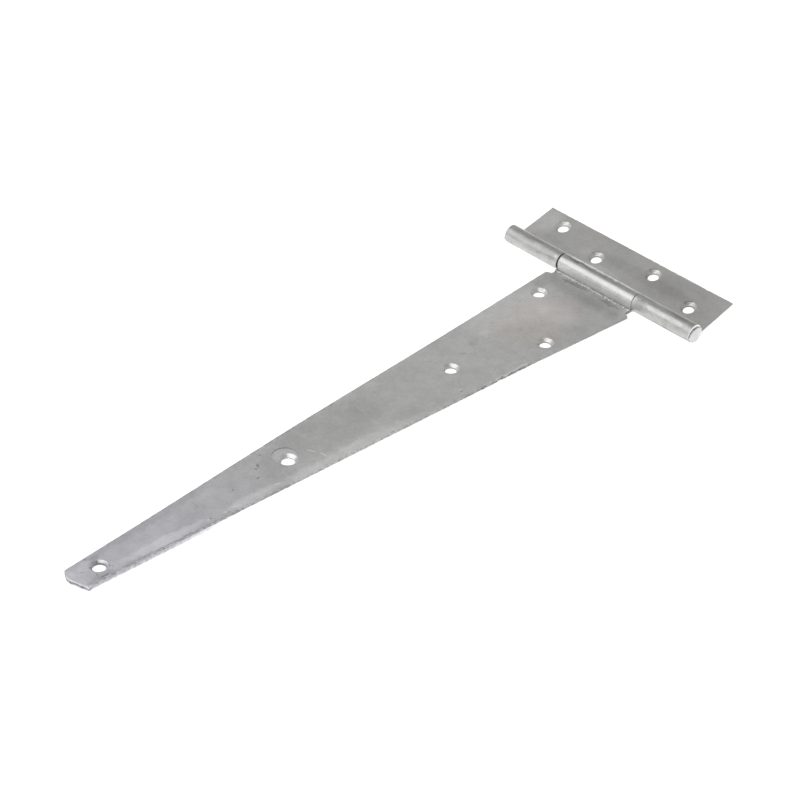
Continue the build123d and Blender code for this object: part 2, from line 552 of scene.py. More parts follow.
# %% Ragged coordinates and elliptical marks
def ragged_place(tree, size, amount):
    """Object coordinates pushed about by noise of a given size, which makes borders drawn in them ragged."""
    place = add(tree, "ShaderNodeTexCoord", out="Object")
    noise = add(tree, "ShaderNodeTexNoise", {"Vector": place, "Scale": 1 / size, "Detail": 4.0}, out="Color")
    push = add(tree, "ShaderNodeVectorMath", {0: noise, 1: (0.5, 0.5, 0.5)}, operation="SUBTRACT")
    push = add(tree, "ShaderNodeVectorMath", {0: push, "Scale": amount}, operation="SCALE")
    return add(tree, "ShaderNodeVectorMath", {0: place, 1: push}, operation="ADD")


def patch(tree, place, centre, half, turn=0.0, core=0.4):
    """A mask that is one inside an ellipse and fades to zero at its border. Sizes in mm, turn in degrees."""
    local = add(tree, "ShaderNodeMapping", {
        "Vector": place, "Location": [c * MM for c in centre], "Rotation": (0, 0, math.radians(turn)),
        "Scale": [h * MM for h in half]}, vector_type="TEXTURE")
    away = add(tree, "ShaderNodeVectorMath", {0: local}, out="Value", operation="LENGTH")
    return add(tree, "ShaderNodeMapRange", {
        "Value": away, "From Min": core, "From Max": 1.0, "To Min": 1.0, "To Max": 0.0},
        interpolation_type="SMOOTHSTEP")


def marked(tree, tone, place, marks, core):
    """Adds a list of marks to a tone. Each mark is its middle, half size, turn and amount."""
    for centre, half, turn, amount in marks:
        mask = patch(tree, place, centre, half, turn, core)
        tone = add(tree, "ShaderNodeMath", {0: mask, 1: amount, 2: tone}, operation="MULTIPLY_ADD")
    return tone


# %% [markdown]
# ## What the shape says
# The rolled knuckles were rubbed smooth when they were rolled. The cut walls and the knuckles' open ends get
# painted light, a painted reflection of the white floor and of the softbox, and the walls inside the holes get
# painted shade. Four masks find these places: the knuckle by its distance from the pin, its open ends by
# facing along the pin, the walls and the countersinks by how far their faces lean from the sheet's own upward
# direction, and the holes by a list of their middles.

# %% Masks for knuckles, walls and countersinks
OPEN_ENDS_FROM = 60 * MM
ROLL_SKIN, ROLL_FADE = 0.05 * MM, 0.6 * MM
SINK_LEAN, SINK_SPAN = math.sin(math.radians(45)), 0.16
THROUGH, RIM_CORE = 900, 0.96


def hole_mask(tree, holes):
    """A mask for all the holes of a leaf, each given as its x, y and rim radius in mm."""
    place = add(tree, "ShaderNodeTexCoord", out="Object")
    mask = 0.0
    for x, y, radius in holes:
        hole = patch(tree, place, (x, y, 0), (radius, radius, THROUGH), 0, RIM_CORE)
        mask = add(tree, "ShaderNodeMath", {0: mask, 1: hole}, operation="MAXIMUM")
    return mask


def sheet_masks(tree, up, holes):
    """Masks for a leaf's rolled knuckle, the upright walls of its outline, its countersinks and its bores."""
    place = add(tree, "ShaderNodeTexCoord", out="Object")
    normal = place.node.outputs["Normal"]
    inside_hole = hole_mask(tree, holes)
    offset = add(tree, "ShaderNodeVectorMath", {0: place, 1: list(pin_axis)}, operation="SUBTRACT")
    across = add(tree, "ShaderNodeVectorMath", {0: offset, 1: (1, 0, 1)}, operation="MULTIPLY")
    spread = add(tree, "ShaderNodeVectorMath", {0: across}, out="Value", operation="LENGTH")
    along_pin = add(tree, "ShaderNodeVectorMath", {0: normal, 1: list(ALONG_PIN)}, out="Value",
                    operation="DOT_PRODUCT")
    along_pin = add(tree, "ShaderNodeMath", {0: along_pin}, operation="ABSOLUTE")
    sideways = add(tree, "ShaderNodeSeparateXYZ", {0: place}, out="Y")
    sideways = add(tree, "ShaderNodeMath", {0: sideways}, operation="ABSOLUTE")
    outside = add(tree, "ShaderNodeMath", {0: sideways, 1: OPEN_ENDS_FROM}, operation="GREATER_THAN")
    open_end = add(tree, "ShaderNodeMath", {0: along_pin, 1: outside}, operation="MULTIPLY")
    not_end = add(tree, "ShaderNodeMapRange", {
        "Value": open_end, "From Min": 0.5, "From Max": 0.8, "To Min": 1.0, "To Max": 0.0})
    roll = add(tree, "ShaderNodeMapRange", {
        "Value": spread, "From Min": roll_radius + ROLL_SKIN, "From Max": roll_radius + ROLL_FADE,
        "To Min": not_end, "To Max": 0.0})
    facing = add(tree, "ShaderNodeVectorMath", {0: normal, 1: list(up)}, out="Value", operation="DOT_PRODUCT")
    level = add(tree, "ShaderNodeMath", {0: facing}, operation="ABSOLUTE")
    flat_part = add(tree, "ShaderNodeMath", {0: 1.0, 1: roll}, operation="SUBTRACT")
    upright = add(tree, "ShaderNodeMapRange", {
        "Value": level, "From Min": 0.2, "From Max": 0.5, "To Min": flat_part, "To Max": 0.0})
    bore = add(tree, "ShaderNodeMath", {0: upright, 1: inside_hole}, operation="MULTIPLY")
    wall = add(tree, "ShaderNodeMath", {0: upright, 1: bore}, operation="SUBTRACT")
    lean = add(tree, "ShaderNodeMath", {0: facing, 1: SINK_LEAN, 2: SINK_SPAN}, operation="COMPARE")
    cone = add(tree, "ShaderNodeMath", {0: lean, 1: inside_hole}, operation="MULTIPLY")
    return roll, wall, cone, bore


print("the knuckle's mask ends", round((roll_radius + ROLL_FADE) / MM, 2), "mm from the pin's axis")

# %% [markdown]
# The coat itself is cloudy at two sizes, as wide as two fingers and as a pencil, and grainy at about a
# millimetre. The real grain is finer than that, and it is drawn this coarse so that it shows.

# %% Clouds, grain and the shader
CLOUD, BLOTCH, GRAIN = 34 * MM, 7 * MM, 1.3 * MM
BUMP_STRENGTH, BUMP_HEIGHT = 0.25, 0.03 * MM
BRIGHTEST = 0.97


def cloudy_tone(tree, cloud_amount, blotch_amount, grain_amount):
    """A tone about one with clouds, blotches and grain, and the grain itself for the bump."""
    place = add(tree, "ShaderNodeTexCoord", out="Object")
    tone = 1.0
    for size, amount in ((CLOUD, cloud_amount), (BLOTCH, blotch_amount), (GRAIN, grain_amount)):
        noise = add(tree, "ShaderNodeTexNoise", {
            "Vector": place, "Scale": 1 / size, "Detail": 4.0, "Roughness": 0.6})
        swing_of_tone = add(tree, "ShaderNodeMapRange", {
            "Value": noise, "From Min": 0.3, "From Max": 0.7, "To Min": -amount, "To Max": amount})
        tone = add(tree, "ShaderNodeMath", {0: tone, 1: swing_of_tone}, operation="ADD")
    return tone, noise


def zinc_surface(tree, colour, tone, roughness, grain):
    """Colour times tone on a rough metal, with the grain as a slight bump."""
    base = add(tree, "ShaderNodeVectorMath", {0: colour, "Scale": tone}, operation="SCALE")
    base = add(tree, "ShaderNodeVectorMath", {0: base, 1: [BRIGHTEST] * 3}, operation="MINIMUM")
    bump = add(tree, "ShaderNodeBump", {
        "Height": grain, "Strength": BUMP_STRENGTH, "Distance": BUMP_HEIGHT}, out="Normal")
    shader = add(tree, "ShaderNodeBsdfPrincipled", {
        "Base Color": base, "Metallic": 1.0, "Roughness": roughness, "Normal": bump})
    add(tree, "ShaderNodeOutputMaterial", {"Surface": shader})


print("clouds, blotches and grain of", [round(size / MM, 1) for size in (CLOUD, BLOTCH, GRAIN)], "mm")

# %% [markdown]
# ## The strap's zinc
# The strap is warm and light near the knuckle, darker towards the middle bolt, and pale and bluish at the
# tip. Pale zinc ran along its high-y edge. The lists below give its marks: middle and half size in mm, turn
# in degrees, amount. Most are stains and specks, but some are painted light: a painted shadow in front of
# the seam, painted shade at the joint, and painted reflections and a painted highlight on the middle knuckle.
# A mark reaches from the upper face through to the back where its half size in z is large. Marks on a knuckle
# sit at their angle around the pin.

# %% The strap's marks
KNUCKLE_RADIUS = roll_radius / MM


def on_knuckle(angle, y):
    """A place on the outside of the knuckles, by its angle above the strap's direction and its y."""
    turn = math.radians(angle)
    return (KNUCKLE_RADIUS * math.cos(turn), y, KNUCKLE_RADIUS * (1 + math.sin(turn)))


STRAP_STAINS_AND_PAINTED_LIGHT = [
    ((14, 0, 3), (14, 46, 9), 0, -0.20),
    ((62, -22, 3), (46, 26, 9), -4, 0.13),
    ((58, 26, 3), (30, 10, 9), -3, -0.06),
    ((108, -11, 3), (6, 4, 9), 20, -0.12),
    ((122, -7, 3), (4, 2.5, 9), -10, -0.14),
    ((95, -14, 3), (7, 5, 9), 30, 0.07),
    ((188, -23, 3), (6, 4, 9), 0, 0.10),
    ((245, -8, 3), (58, 26, 9), -3, -0.10),
    ((238, 19.8, 3), (68, 8, 9), -3.5, 0.17),
    ((285, 16, 3), (20, 6, 9), -3.5, 0.12),
    ((322, 13, 3), (28, 5, 9), -3, 0.18),
    ((388, 8, 3), (44, 5, 9), -3.5, 0.21),
    ((300, 0, 3), (36, 40, 9), 0, -0.04),
    ((437, -5, 3), (9, 7, 9), 0, 0.09),
    ((434, 9, 3), (14, 4, 9), 0, -0.16),
    ((27, -29, 3), (5, 6, 9), 0, -0.10),
    ((20, 30, 3), (8, 6, 9), 0, -0.10),
    # Painted shadow on the strap in front of the zinc seam's bead.
    ((10.8, -13, 3), (2.8, 15, 9), 0, -0.28),
    ((11.0, 21, 3), (2.8, 13, 9), 0, -0.25),
    ((112, 30.6, 3.2), (26, 1.0, 1.2), -3.46, -0.30),
    ((127, 29.7, 3.2), (5, 0.9, 1.2), -3.46, -0.35),
    ((139, 29.0, 3.2), (4, 0.9, 1.2), -3.46, -0.35),
    ((118, 28.5, 3), (28, 1.0, 9), -3.46, 0.34),
    ((44, 3, 3), (16, 18, 9), 0, 0.13),
    ((185, 16, 3), (34, 12, 9), -3.5, -0.07),
    ((202, -8, 3), (28, 22, 9), 0, -0.05),
    ((385, -13.0, 3), (80, 6, 9), 3.5, -0.10),
    ((292, 2, 3), (14, 20, 9), 0, -0.08),
    ((410, 11, 3), (14, 4, 9), -3.5, -0.12),
    # Painted reflections: darker bands around the middle knuckle at fixed angles, and a painted highlight along
    # its top.
    (on_knuckle(91, 0), (1.6, 60, 3), 0, -0.12),
    (on_knuckle(10, 0), (2.0, 60, 3.0), 0, -0.10),
    (on_knuckle(122, 0), (3.0, 60, 3.0), 0, 0.60),
    (on_knuckle(90, -19), (1.2, 16, 3), 0, -0.34),
]
STRAP_SPECKS_AND_PAINTED_SHADE = [
    ((298, -9, 3), (2.4, 1.0, 9), 60, -0.35),
    ((301, -7, 3), (1.0, 1.6, 9), 0, -0.30),
    ((306, 0.5, 3), (1.8, 0.9, 9), 10, -0.40),
    ((290, -16, 3), (1.0, 0.8, 9), 0, -0.30),
    ((325, -1, 3), (1.6, 1.0, 9), 45, -0.25),
    ((353, 11, 3), (0.9, 0.8, 9), 0, -0.45),
    ((355, 11, 3), (1.0, 0.7, 9), 0, 0.50),
    ((351, -6, 3), (5.0, 1.0, 9), 80, -0.09),
    ((301.6, 13.2, 3), (2.4, 0.8, 9), -20, 0.36),
    ((331.6, 12.9, 3), (1.0, 0.8, 9), 0, 0.40),
    ((335, 12, 3), (4.0, 0.7, 9), -40, 0.16),
    ((427.6, -4.9, 3), (1.1, 0.8, 9), 0, -0.30),
    ((434.6, -2.6, 3), (1.3, 0.9, 9), 30, -0.30),
    ((435.4, 5.2, 3), (1.0, 0.7, 9), 60, -0.28),
    ((423.8, 5.4, 3), (0.5, 2.2, 9), -20, -0.20),
    ((432.5, 9.2, 3), (3.6, 0.7, 9), -8, -0.30),
    ((431.4, 10.4, 3), (2.6, 0.6, 9), -8, 0.25),
    ((440.6, -2.1, 3), (2.0, 0.7, 9), -46, -0.25),
    ((446.0, 10.6, 2), (1.0, 1.0, 2), 0, -0.45),
    ((429.5, -0.4, 3), (7.5, 7.5, 9), 0, -0.20),
    ((276.0, 1.6, 3), (1.6, 2.0, 9), 30, -0.30),
    ((30.2, -24.4, 3), (1.4, 2.2, 9), 0, -0.25),
    ((431.9, -10.5, 3), (1.6, 0.7, 9), 3.5, -0.28),
    ((427.3, -8.2, 3), (4.5, 2.4, 9), 0, -0.12),
    ((424.7, 3.5, 3), (0.7, 1.8, 9), -20, -0.22),
    ((385, 12.9, 3), (58, 0.45, 9), -3.46, -0.30),
    ((342.4, 12.2, 3), (1.3, 0.6, 9), -10, 0.45),
    ((340.8, 13.6, 3), (1.5, 0.6, 9), -10, -0.30),
    # Painted shade along the middle knuckle's lower left edge, at the joint.
    (on_knuckle(-12, -33.4), (4.0, 0.8, 5.0), 0, -0.60),
    ((52, -24, 3), (1.6, 0.8, 9), 30, -0.20),
    ((60, -12, 3), (2.2, 0.8, 9), 30, -0.10),
    ((214.3, 23.2, 3), (2.2, 1.2, 9), -10, -0.30),
    ((151.5, 20.5, 3), (1.3, 0.7, 9), 0, 0.30),
    ((152.5, 22, 3), (1.5, 0.8, 9), 0, -0.30),
    ((147, 14.5, 3), (6.8, 0.45, 9), 54, -0.16),
    ((264.0, 2.6, 3), (4.8, 0.55, 9), 112, 0.36),
    ((261.0, 10.6, 3), (3.8, 0.6, 9), 100, 0.46),
]
spot_face = ((middle_bolt / MM - 0.9, -5.2, 3), (8.4, 8.4, 9), 0, 0.16)
STRAP_HOLES = (
    (35, -22.8, 6),
    (74.6, 21.2, 6),
    (139.5, -0.8, 6),
    (279.1, -5.2, 8.6),
    (280, -1.2, 7),
    (429.5, -0.4, 6),
)
print("the strap has", len(STRAP_STAINS_AND_PAINTED_LIGHT), "stains and", len(STRAP_SPECKS_AND_PAINTED_SHADE), "specks and scratches")

# %% [markdown]
# Along the high-y edge the zinc is pale and full of dark specks. The distance from that edge is a dot
# product with the inward direction that the lumps already used.

# %% Fringe of the long edge
FRINGE_FROM, FRINGE_FULL = 55 * MM, 110 * MM
FRINGE_SPECK = 2.2 * MM


def edge_fringe(tree, tone, where, side, width, pale, dark):
    """Adds a pale fringe with dark specks along one long edge, clear of the knuckle, where a mask allows."""
    place = add(tree, "ShaderNodeTexCoord", out="Object")
    direction = inward(side)
    depth = add(tree, "ShaderNodeVectorMath", {0: place, 1: list(direction)}, out="Value",
                operation="DOT_PRODUCT")
    start = strap_edges[side][0].dot(direction)
    near = add(tree, "ShaderNodeMapRange", {
        "Value": depth, "From Min": start, "From Max": start + width, "To Min": 1.0, "To Max": 0.0},
        interpolation_type="SMOOTHSTEP")
    ahead = add(tree, "ShaderNodeSeparateXYZ", {0: place}, out="X")
    started = add(tree, "ShaderNodeMapRange", {
        "Value": ahead, "From Min": FRINGE_FROM, "From Max": FRINGE_FULL})
    near = add(tree, "ShaderNodeMath", {0: near, 1: started}, operation="MULTIPLY")
    near = add(tree, "ShaderNodeMath", {0: near, 1: where}, operation="MULTIPLY")
    noise = add(tree, "ShaderNodeTexNoise", {"Vector": place, "Scale": 1 / FRINGE_SPECK, "Detail": 3.0})
    specks = add(tree, "ShaderNodeMapRange", {
        "Value": noise, "From Min": 0.42, "From Max": 0.62, "To Min": pale, "To Max": dark})
    return add(tree, "ShaderNodeMath", {0: near, 1: specks, 2: tone}, operation="MULTIPLY_ADD")


print("the fringes start", round(FRINGE_FROM / MM), "mm from the pin")

# %% [markdown]
# The strap's material puts these together in three steps. The first is the tone of the sheet: its clouds,
# its marks and the fringes of its two long edges.

# %% Galvanised strap: the sheet
UPRIGHT = Vector((0, 0, 1))
STAIN_CORE, SPECK_CORE, SPOT_CORE = 0.4, 0.5, 0.93
strap_zinc, tree = new_material("galvanised_strap")
place = add(tree, "ShaderNodeTexCoord", out="Object")
ragged = ragged_place(tree, 5 * MM, 7 * MM)
roll, wall, cone, bore = sheet_masks(tree, UPRIGHT, STRAP_HOLES)
level_part = add(tree, "ShaderNodeMath", {0: 1.0, 1: wall}, operation="SUBTRACT")
tone, grain = cloudy_tone(tree, 0.05, 0.06, 0.06)
tone = marked(tree, tone, ragged, STRAP_STAINS_AND_PAINTED_LIGHT, STAIN_CORE)
tone = marked(tree, tone, place, STRAP_SPECKS_AND_PAINTED_SHADE, SPECK_CORE)
tone = marked(tree, tone, place, [spot_face], SPOT_CORE)
tone = edge_fringe(tree, tone, level_part, 1, 4.5 * MM, 0.14, -0.25)
tone = edge_fringe(tree, tone, level_part, -1, 2.0 * MM, 0.10, -0.15)
print(strap_zinc.name, "has", len(tree.nodes), "nodes for its sheet")

# %% [markdown]
# The second step is the walls. Along the wide part they are painted bright, a painted reflection of the white
# floor, and near the shoulders a dark band runs along their tops, which runs out away from the knuckle.
# Towards the tip only their foot is painted bright, again a painted reflection of the floor, and above it the
# zinc is darker and lumpy. The front of the tip was ground and stayed dark under its rim. Each of these is a
# ramp on the height or the length, and the ramps are mixed by place.

# %% Galvanised strap: the walls
CLOT = 2.0 * MM
FOOT_REFLECTION_LOW, FOOT_REFLECTION_HIGH = 0.5 * MM, 1.5 * MM
BAND_FROM, BAND_TO = 13 * MM, 123 * MM
BAND_FOOT, BAND_FADE = 0.8 * MM, 0.5 * MM
FOOT_REFLECTION_FROM, FOOT_REFLECTION_TO = 330 * MM, 385 * MM
GROUND_FOOT, GROUND_TOP = 0.4 * MM, 1.8 * MM
GROUND_MIDDLE, GROUND_HALF, GROUND_CORE = (452, 2, 1.5), (9, 20, 9), 0.8
axes = add(tree, "ShaderNodeSeparateXYZ", {0: place}).node.outputs
clots = add(tree, "ShaderNodeTexNoise", {"Vector": place, "Scale": 1 / CLOT, "Detail": 3.0})
clots = add(tree, "ShaderNodeMapRange", {
    "Value": clots, "From Min": 0.35, "From Max": 0.65, "To Min": -0.22, "To Max": 0.22})
# Towards the tip the foot of the walls is painted bright, a painted reflection of the white floor, and above it
# the zinc is darker and lumpy.
foot_reflection_dark_top = add(tree, "ShaderNodeMapRange", {
    "Value": axes["Z"], "From Min": FOOT_REFLECTION_LOW, "From Max": FOOT_REFLECTION_HIGH, "To Min": 0.2, "To Max": -0.34})
foot_reflection_dark_top = add(tree, "ShaderNodeMath", {0: clots, 1: 0.5, 2: foot_reflection_dark_top}, operation="MULTIPLY_ADD")
climb = add(tree, "ShaderNodeMapRange", {
    "Value": axes["X"], "From Min": BAND_FROM, "From Max": BAND_TO, "To Min": BAND_FOOT, "To Max": SHEET})
level = add(tree, "ShaderNodeMath", {0: axes["Z"], 1: climb}, operation="SUBTRACT")
# Along the wide part the walls are painted bright, a painted reflection of the white floor, with a dark band along
# their tops near the shoulders.
sheared = add(tree, "ShaderNodeMapRange", {
    "Value": level, "From Min": 0.0, "From Max": BAND_FADE, "To Min": 0.4, "To Max": -0.6})
sides = add(tree, "ShaderNodeMapRange", {
    "Value": axes["X"], "From Min": FOOT_REFLECTION_FROM, "From Max": FOOT_REFLECTION_TO, "To Min": sheared, "To Max": foot_reflection_dark_top})
ground = add(tree, "ShaderNodeMapRange", {
    "Value": axes["Z"], "From Min": GROUND_FOOT, "From Max": GROUND_TOP, "To Min": -0.15, "To Max": -0.6})
ground = add(tree, "ShaderNodeMath", {0: ground, 1: clots}, operation="ADD")
ground_front = patch(tree, place, GROUND_MIDDLE, GROUND_HALF, 0, GROUND_CORE)
wall_tone = add(tree, "ShaderNodeMapRange", {"Value": ground_front, "To Min": sides, "To Max": ground})
tone = add(tree, "ShaderNodeMath", {0: wall, 1: wall_tone, 2: tone}, operation="MULTIPLY_ADD")
print("the dark band ends", round(BAND_TO / MM), "mm from the pin")

# %% [markdown]
# The last step paints shade into the bores, keeps the smooth knuckle darker than the matt sheet, and mixes
# three tints: plain grey, beige near the knuckle and bluish at the tip. Rubbed metal is also smoother, so the
# knuckle gets a lower roughness, and so do the countersinks, while the ground front gets a higher one.

# %% Galvanised strap: holes, knuckle and tints
BEIGE_MIDDLE, BEIGE_HALF = (62, 0, 3), (48, 34, 40)
BLUISH_FROM, BLUISH_TO = 260 * MM, 380 * MM
# The bores are painted darker, as painted shade inside the holes.
for mask, amount in ((cone, -0.05), (bore, -0.5)):
    tone = add(tree, "ShaderNodeMath", {0: mask, 1: amount, 2: tone}, operation="MULTIPLY_ADD")
rolled = add(tree, "ShaderNodeMapRange", {"Value": roll, "To Min": 1.0, "To Max": 0.8})
tone = add(tree, "ShaderNodeMath", {0: tone, 1: rolled}, operation="MULTIPLY")
beige = patch(tree, ragged, BEIGE_MIDDLE, BEIGE_HALF)
bluish = add(tree, "ShaderNodeMapRange", {
    "Value": axes["X"], "From Min": BLUISH_FROM, "From Max": BLUISH_TO})
colour = add(tree, "ShaderNodeMix", {
    "Factor": beige, "A": linear_colour("#e1e1e0"), "B": linear_colour("#e3e0dc")},
    out="Result", data_type="RGBA")
colour = add(tree, "ShaderNodeMix", {
    "Factor": bluish, "A": colour, "B": linear_colour("#e0dfe4")}, out="Result", data_type="RGBA")
roughness = add(tree, "ShaderNodeMapRange", {"Value": roll, "To Min": 0.5, "To Max": 0.36})
for mask, amount in ((cone, -0.1), (ground_front, 0.15)):
    roughness = add(tree, "ShaderNodeMath", {0: mask, 1: amount, 2: roughness}, operation="MULTIPLY_ADD")
zinc_surface(tree, colour, tone, roughness, grain)
print(strap_zinc.name, "has", len(tree.nodes), "nodes")

# %% [markdown]
# The zinc in the seam is the same metal, duller towards its foot and full of specks there. Its left end,
# which faces the open joint, is painted dark, as painted shade.

# %% Zinc of the seam
FOOT_LOW, FOOT_HIGH = 3.6 * MM, 4.2 * MM
SUNK_LOW, SUNK_HIGH = 3.8 * MM, 6.5 * MM
SHADED_END = 1.2 * MM
seam_zinc, tree = new_material("zinc_seam")
place = add(tree, "ShaderNodeTexCoord", out="Object")
tone, grain = cloudy_tone(tree, 0.03, 0.05, 0.05)
axes = add(tree, "ShaderNodeSeparateXYZ", {0: place}).node.outputs
foot = add(tree, "ShaderNodeMapRange", {
    "Value": axes["Z"], "From Min": FOOT_LOW, "From Max": FOOT_HIGH, "To Min": 0.3, "To Max": 0.0})
sunk = add(tree, "ShaderNodeMapRange", {
    "Value": axes["Z"], "From Min": SUNK_LOW, "From Max": SUNK_HIGH, "To Min": -0.2, "To Max": 0.0})
# Painted shade at the seam's left end, where it faces the open joint.
shaded_end = add(tree, "ShaderNodeMapRange", {
    "Value": axes["Y"], "From Min": SEAM_LEFT, "From Max": SEAM_LEFT + SHADED_END,
    "To Min": -0.8, "To Max": 0.0})
specks = add(tree, "ShaderNodeMapRange", {
    "Value": grain, "From Min": 0.35, "From Max": 0.65, "To Min": -1.2, "To Max": 0.7})
tone = add(tree, "ShaderNodeMath", {0: foot, 1: specks, 2: tone}, operation="MULTIPLY_ADD")
for change in (sunk, shaded_end):
    tone = add(tree, "ShaderNodeMath", {0: tone, 1: change}, operation="ADD")
colour = add(tree, "ShaderNodeMix", {
    "Factor": grain, "A": linear_colour("#c9c9c8"), "B": linear_colour("#d0d0d0")},
    out="Result", data_type="RGBA")
zinc_surface(tree, colour, tone, 0.42, grain)
print(seam_zinc.name, "has", len(tree.nodes), "nodes")

# %% [markdown]
# ## The plate's zinc
# The plate is a little darker and browner, and lighter at its left end. Its knuckles were dipped after they
# were rolled: the left one is smeared and dull, and the right one has a smooth bright patch with a sharp
# end. Some of its marks are painted light: painted highlights along the notch's edge and around the
# knuckles, painted dark reflections in bands on the knuckles, and painted shade under the right knuckle and
# at its outer end.

# %% The plate's marks
PLATE_STAINS_AND_PAINTED_LIGHT = [
    ((-28, -76, 8), (16, 17, 90), 0, 0.20),
    ((-20, -32, 8), (5, 6, 90), 30, 0.09),
    ((-16, -60, 8), (4, 10, 90), 0, -0.05),
    ((-24, 55, 8), (30, 34, 90), 0, -0.06),
    # Painted dark reflections in a band on the left knuckle.
    (on_knuckle(80, -58), (1.0, 10, 1.5), 0, -0.30),
    (on_knuckle(70, -64), (0.8, 7, 1.0), 0, -0.28),
    (on_knuckle(35, -60), (4.5, 32, 4.5), 0, -0.16),
    (on_knuckle(20, -40), (2.5, 4, 4.0), 0, -0.12),
    (on_knuckle(45, 40), (5.0, 6, 5.0), 0, -0.16),
    # Painted dark reflection in a band on the right knuckle.
    (on_knuckle(88, 72), (2.5, 14, 1.5), 0, -0.22),
    (on_knuckle(-5, 64), (4.0, 3, 9.0), 0, -0.10),
    # Painted highlight along the edge of the notch in front of the middle knuckle.
    ((-10.6, 0, 5), (1.3, 38, 3), 0, 1.00),
    (on_knuckle(50, -37), (1.3, 1.7, 1.3), 0, 0.32),
    (on_knuckle(58, 35.6), (1.4, 1.9, 1.4), 0, 0.24),
    # Painted highlights: a brighter band around both knuckles and a bright line along their tops.
    (on_knuckle(76, 0), (2.4, 120, 2.4), 0, 0.12),
    (on_knuckle(124, 0), (3.0, 120, 3.0), 0, 0.50),
    ((-39.9, 40, 11), (1.0, 50, 2), 0, 0.40),
    (on_knuckle(45, 58), (4.0, 32, 4.0), 0, -0.14),
    # Painted shade on the underside of the right knuckle.
    (on_knuckle(-40, 60), (3.0, 32, 3.0), 0, -0.26),
    ((-24, 20, 8), (7, 64, 90), 0, -0.10),
    ((-13, -8, 8), (4, 20, 90), 0, 0.12),
    ((-24, 32, 8), (18, 26, 90), 0, -0.09),
    ((-14, -80, 8), (5, 8, 90), 0, 0.12),
    # Painted shade at the low front of the right knuckle's outer end.
    (on_knuckle(-38, 85.6), (1.9, 2.0, 1.9), 0, -0.60),
]
BRIGHT_PATCH = (on_knuckle(46, 62), (4.0, 17, 4.0), 0, 0.14)
PLATE_HOLES = ((-29.4, -62, 6.2), (-19.6, -21.6, 6.2), (-29.4, 21.6, 6.2), (-19.6, 62, 6.2))
PLATE_RIMS = [((x - 3.7, y - 3.6, 8), (1.3, 4.0, 9), 44, -0.40) for x, y, radius in PLATE_HOLES]
print("the plate has", len(PLATE_STAINS_AND_PAINTED_LIGHT), "stains, and", len(PLATE_RIMS), "dull rims")

# %% [markdown]
# The plate's tone is made as the strap's was, with two things more: smears that are stretched along its
# knuckles, and a dull arc at the back left of each hole's rim.

# %% Galvanised plate: the tone
PATCH_CORE = 0.85
SMEAR, SMEAR_STRETCH = 3 * MM, 4
plate_zinc, tree = new_material("galvanised_plate")
place = add(tree, "ShaderNodeTexCoord", out="Object")
ragged = ragged_place(tree, 3 * MM, 3 * MM)
roll, wall, cone, bore = sheet_masks(tree, plate_up, PLATE_HOLES)
tone, grain = cloudy_tone(tree, 0.05, 0.05, 0.06)
tone = marked(tree, tone, ragged, PLATE_STAINS_AND_PAINTED_LIGHT, STAIN_CORE)
tone = marked(tree, tone, ragged, [BRIGHT_PATCH], PATCH_CORE)
tone = marked(tree, tone, place, PLATE_RIMS, SPECK_CORE)
# Painted light: the walls and the knuckles' open ends are painted brighter, a painted reflection of the white
# floor and a painted highlight on the notch's wall, and the bores are painted darker, as painted shade.
for mask, amount in ((wall, 0.42), (cone, 0.05), (bore, -0.5)):
    tone = add(tree, "ShaderNodeMath", {0: mask, 1: amount, 2: tone}, operation="MULTIPLY_ADD")
rolled = add(tree, "ShaderNodeMapRange", {"Value": roll, "To Min": 1.0, "To Max": 0.78})
tone = add(tree, "ShaderNodeMath", {0: tone, 1: rolled}, operation="MULTIPLY")
stretched = add(tree, "ShaderNodeMapping", {"Vector": place, "Scale": (1, 1 / SMEAR_STRETCH, 1)})
smears = add(tree, "ShaderNodeTexNoise", {"Vector": stretched, "Scale": 1 / SMEAR, "Detail": 4.0})
smeared = add(tree, "ShaderNodeMapRange", {
    "Value": smears, "From Min": 0.3, "From Max": 0.7, "To Min": -0.09, "To Max": 0.09})
tone = add(tree, "ShaderNodeMath", {0: roll, 1: smeared, 2: tone}, operation="MULTIPLY_ADD")
print(plate_zinc.name, "has", len(tree.nodes), "nodes for its tone")

# %% [markdown]
# Its tint is grey with faint brown clouds, on the level part only. The bright patch on the right knuckle is
# also the smoothest place.

# %% Galvanised plate: tint and roughness
BROWN_CLOUD = 22 * MM
browns = add(tree, "ShaderNodeTexNoise", {"Vector": place, "Scale": 1 / BROWN_CLOUD, "Detail": 2.0})
level_part = add(tree, "ShaderNodeMath", {0: 1.0, 1: roll}, operation="SUBTRACT")
level_part = add(tree, "ShaderNodeMath", {0: level_part, 1: wall}, operation="SUBTRACT")
brown = add(tree, "ShaderNodeMapRange", {
    "Value": browns, "From Min": 0.4, "From Max": 0.6, "To Max": level_part})
colour = add(tree, "ShaderNodeMix", {
    "Factor": brown, "A": linear_colour("#d6d6d5"), "B": linear_colour("#d7d5d2")},
    out="Result", data_type="RGBA")
roughness = add(tree, "ShaderNodeMapRange", {"Value": roll, "To Min": 0.5, "To Max": 0.45})
polish = patch(tree, ragged, BRIGHT_PATCH[0], BRIGHT_PATCH[1], 0, PATCH_CORE)
for mask, amount in ((cone, -0.1), (polish, -0.09)):
    roughness = add(tree, "ShaderNodeMath", {0: mask, 1: amount, 2: roughness}, operation="MULTIPLY_ADD")
zinc_surface(tree, colour, tone, roughness, grain)
print(plate_zinc.name, "has", len(tree.nodes), "nodes")

# %% [markdown]
# ## The pin's zinc
# Only the hammered ends of the pin show. They are bright, a little dimpled, and have hardly any stains.
# Each gets a painted highlight, paler towards the back and the bottom.

# %% Zinc-coated pin
PIN_HIGHLIGHT_CORE = 0.2
